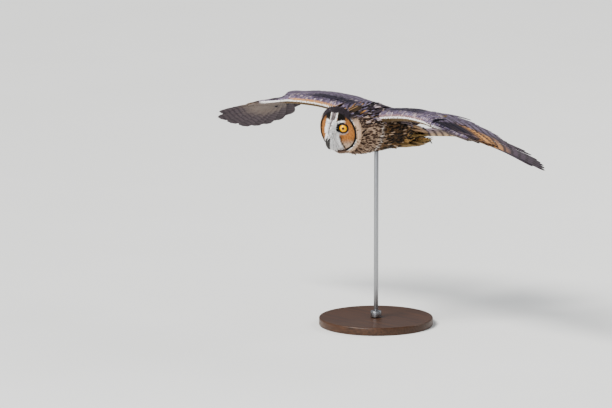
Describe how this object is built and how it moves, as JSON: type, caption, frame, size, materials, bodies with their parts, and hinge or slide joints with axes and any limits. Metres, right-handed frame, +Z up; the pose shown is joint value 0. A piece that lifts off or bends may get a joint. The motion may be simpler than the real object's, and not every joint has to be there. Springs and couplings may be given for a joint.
{
  "type": "long-eared owl figure",
  "caption": "Life-size long-eared owl gliding with spread wings, head turned slightly to its left, held up by one rod on a round display base.",
  "frame": {"origin": "middle of the underside of the display base", "axes": "+Z up, the owl flies towards -Y, +X is the owl's left wing"},
  "size_m": [0.9279, 0.3788, 0.4592],
  "materials": {
    "plumage": "matte",
    "face": "matte",
    "flight_feather": "matte",
    "ear_tuft": "matte",
    "leg_plumage": "matte",
    "horn": "satin",
    "eye": "gloss",
    "stand_wood": "satin",
    "stand_steel": "brushed"
  },
  "bodies": {
    "root": {"head": "face", "eye_left": "eye", "eye_right": "eye", "ear_tuft_left": "ear_tuft", "ear_tuft_right": "ear_tuft", "bill_upper": "horn", "bill_lower": "horn", "neck": "plumage", "torso": "plumage", "tail": "flight_feather", "wing_left_arm": "flight_feather", "wing_left_hand": "flight_feather", "leg_left": "leg_plumage", "foot_left": "leg_plumage", "claw_left_1": "horn", "claw_left_2": "horn", "claw_left_3": "horn", "claw_left_4": "horn", "wing_right_arm": "flight_feather", "wing_right_hand": "flight_feather", "leg_right": "leg_plumage", "foot_right": "leg_plumage", "claw_right_1": "horn", "claw_right_2": "horn", "claw_right_3": "horn", "claw_right_4": "horn", "stand_base": "stand_wood", "stand_collar": "stand_steel", "stand_rod": "stand_steel"}
  },
  "joints": []
}
